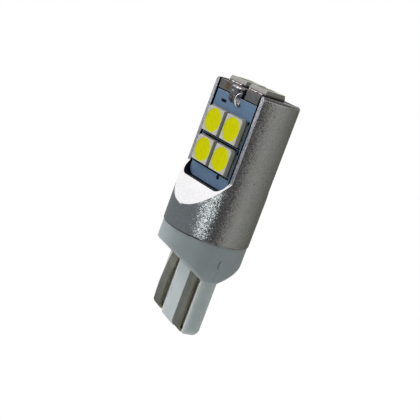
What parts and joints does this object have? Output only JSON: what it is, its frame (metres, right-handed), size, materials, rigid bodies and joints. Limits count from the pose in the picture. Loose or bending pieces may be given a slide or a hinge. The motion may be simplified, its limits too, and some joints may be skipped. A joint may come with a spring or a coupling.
{
  "type": "wedge base led bulb",
  "caption": "Wedge base LED bulb: round aluminium body with LED boards on two flats and on top, on a plastic wedge base with two bent contact strips.",
  "frame": {"origin": "on the bulb's axis, in the shoulder plane where the wedge blade leaves the base", "axes": "+Z along the bulb's axis from the blade to the top LEDs, +X along the blade's width, -Y out of the blade's front face"},
  "size_m": [0.01, 0.01, 0.028],
  "materials": {
    "housing_metal": "bead blasted, satin",
    "base_plastic": "moulded white nylon, satin",
    "contact_metal": "dull nickel plated strip with bare cut edges",
    "board_mask": "slate blue solder mask on aluminium core",
    "driver_laminate": "green solder mask",
    "led_case": "moulded white thermoset",
    "phosphor": "yellow phosphor in clear silicone",
    "terminal_metal": "tinned lead frame",
    "solder": "reflowed tin solder",
    "lead_metal": "tinned wire",
    "ceramic": "tan ceramic",
    "component_black": "black moulding compound"
  },
  "bodies": {
    "root": {"bridge_rectifier": "component_black", "contact_left": "contact_metal", "contact_right": "contact_metal", "driver_board": "driver_laminate", "front_board": "board_mask", "front_lead": "lead_metal", "front_led_1": "led_case", "front_led_2": "led_case", "front_led_3": "led_case", "front_led_4": "led_case", "front_phosphor_1": "phosphor", "front_phosphor_2": "phosphor", "front_phosphor_3": "phosphor", "front_phosphor_4": "phosphor", "front_solder": "solder", "front_terminals_1": "terminal_metal", "front_terminals_2": "terminal_metal", "front_terminals_3": "terminal_metal", "front_terminals_4": "terminal_metal", "holder": "base_plastic", "housing": "housing_metal", "load_resistor_1": "component_black", "load_resistor_2": "component_black", "rear_board": "board_mask", "rear_lead": "lead_metal", "rear_led_1": "led_case", "rear_led_2": "led_case", "rear_led_3": "led_case", "rear_led_4": "led_case", "rear_phosphor_1": "phosphor", "rear_phosphor_2": "phosphor", "rear_phosphor_3": "phosphor", "rear_phosphor_4": "phosphor", "rear_solder": "solder", "rear_terminals_1": "terminal_metal", "rear_terminals_2": "terminal_metal", "rear_terminals_3": "terminal_metal", "rear_terminals_4": "terminal_metal", "smoothing_capacitor": "ceramic", "top_board": "board_mask", "top_led_1": "led_case", "top_led_2": "led_case", "top_phosphor_1": "phosphor", "top_phosphor_2": "phosphor", "top_terminals_1": "terminal_metal", "top_terminals_2": "terminal_metal"}
  },
  "joints": []
}
